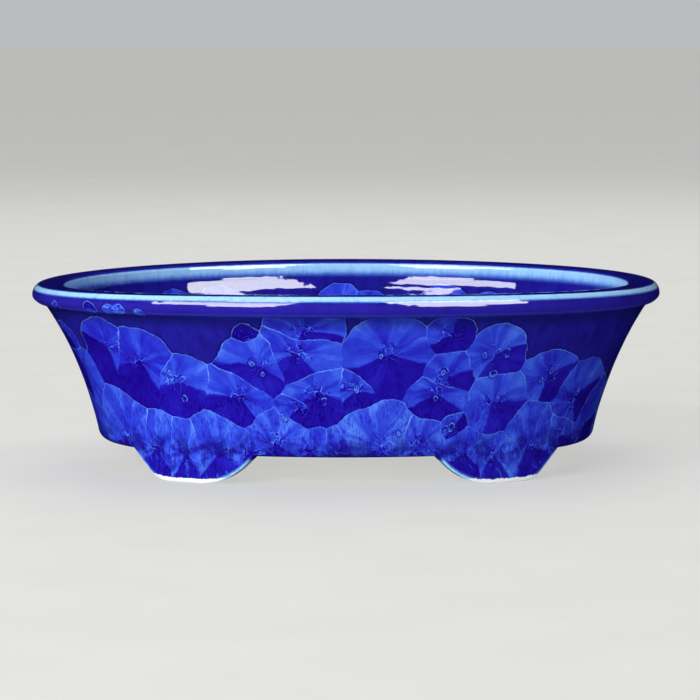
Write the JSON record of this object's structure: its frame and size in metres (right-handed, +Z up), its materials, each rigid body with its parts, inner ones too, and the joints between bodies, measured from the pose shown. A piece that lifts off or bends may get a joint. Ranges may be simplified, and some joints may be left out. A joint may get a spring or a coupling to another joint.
{
  "type": "bonsai pot",
  "caption": "Oval glazed bonsai pot with a thick rolled lip, flared wall, cut-away feet, drain holes with mesh screens and tie-wire holes.",
  "frame": {"origin": "on the ground under the middle of the pot", "axes": "+X along the pot's length, +Y towards its back, +Z up out of its mouth"},
  "size_m": [0.25, 0.2, 0.075],
  "materials": {
    "blue_glaze": "high gloss cobalt crystalline glaze",
    "porcelain": "bare fired porcelain, fine matt",
    "screen_mesh": "matt black plastic mesh",
    "clip_wire": "satin brown anodised wire"
  },
  "bodies": {
    "root": {"lip": "blue_glaze", "wall": "blue_glaze", "floor": "porcelain", "foot_front_left": "blue_glaze", "foot_front_right": "blue_glaze", "foot_back_left": "blue_glaze", "foot_back_right": "blue_glaze", "drain_screen_left": "screen_mesh", "drain_screen_right": "screen_mesh", "screen_clip_left": "clip_wire", "screen_clip_right": "clip_wire"}
  },
  "joints": []
}
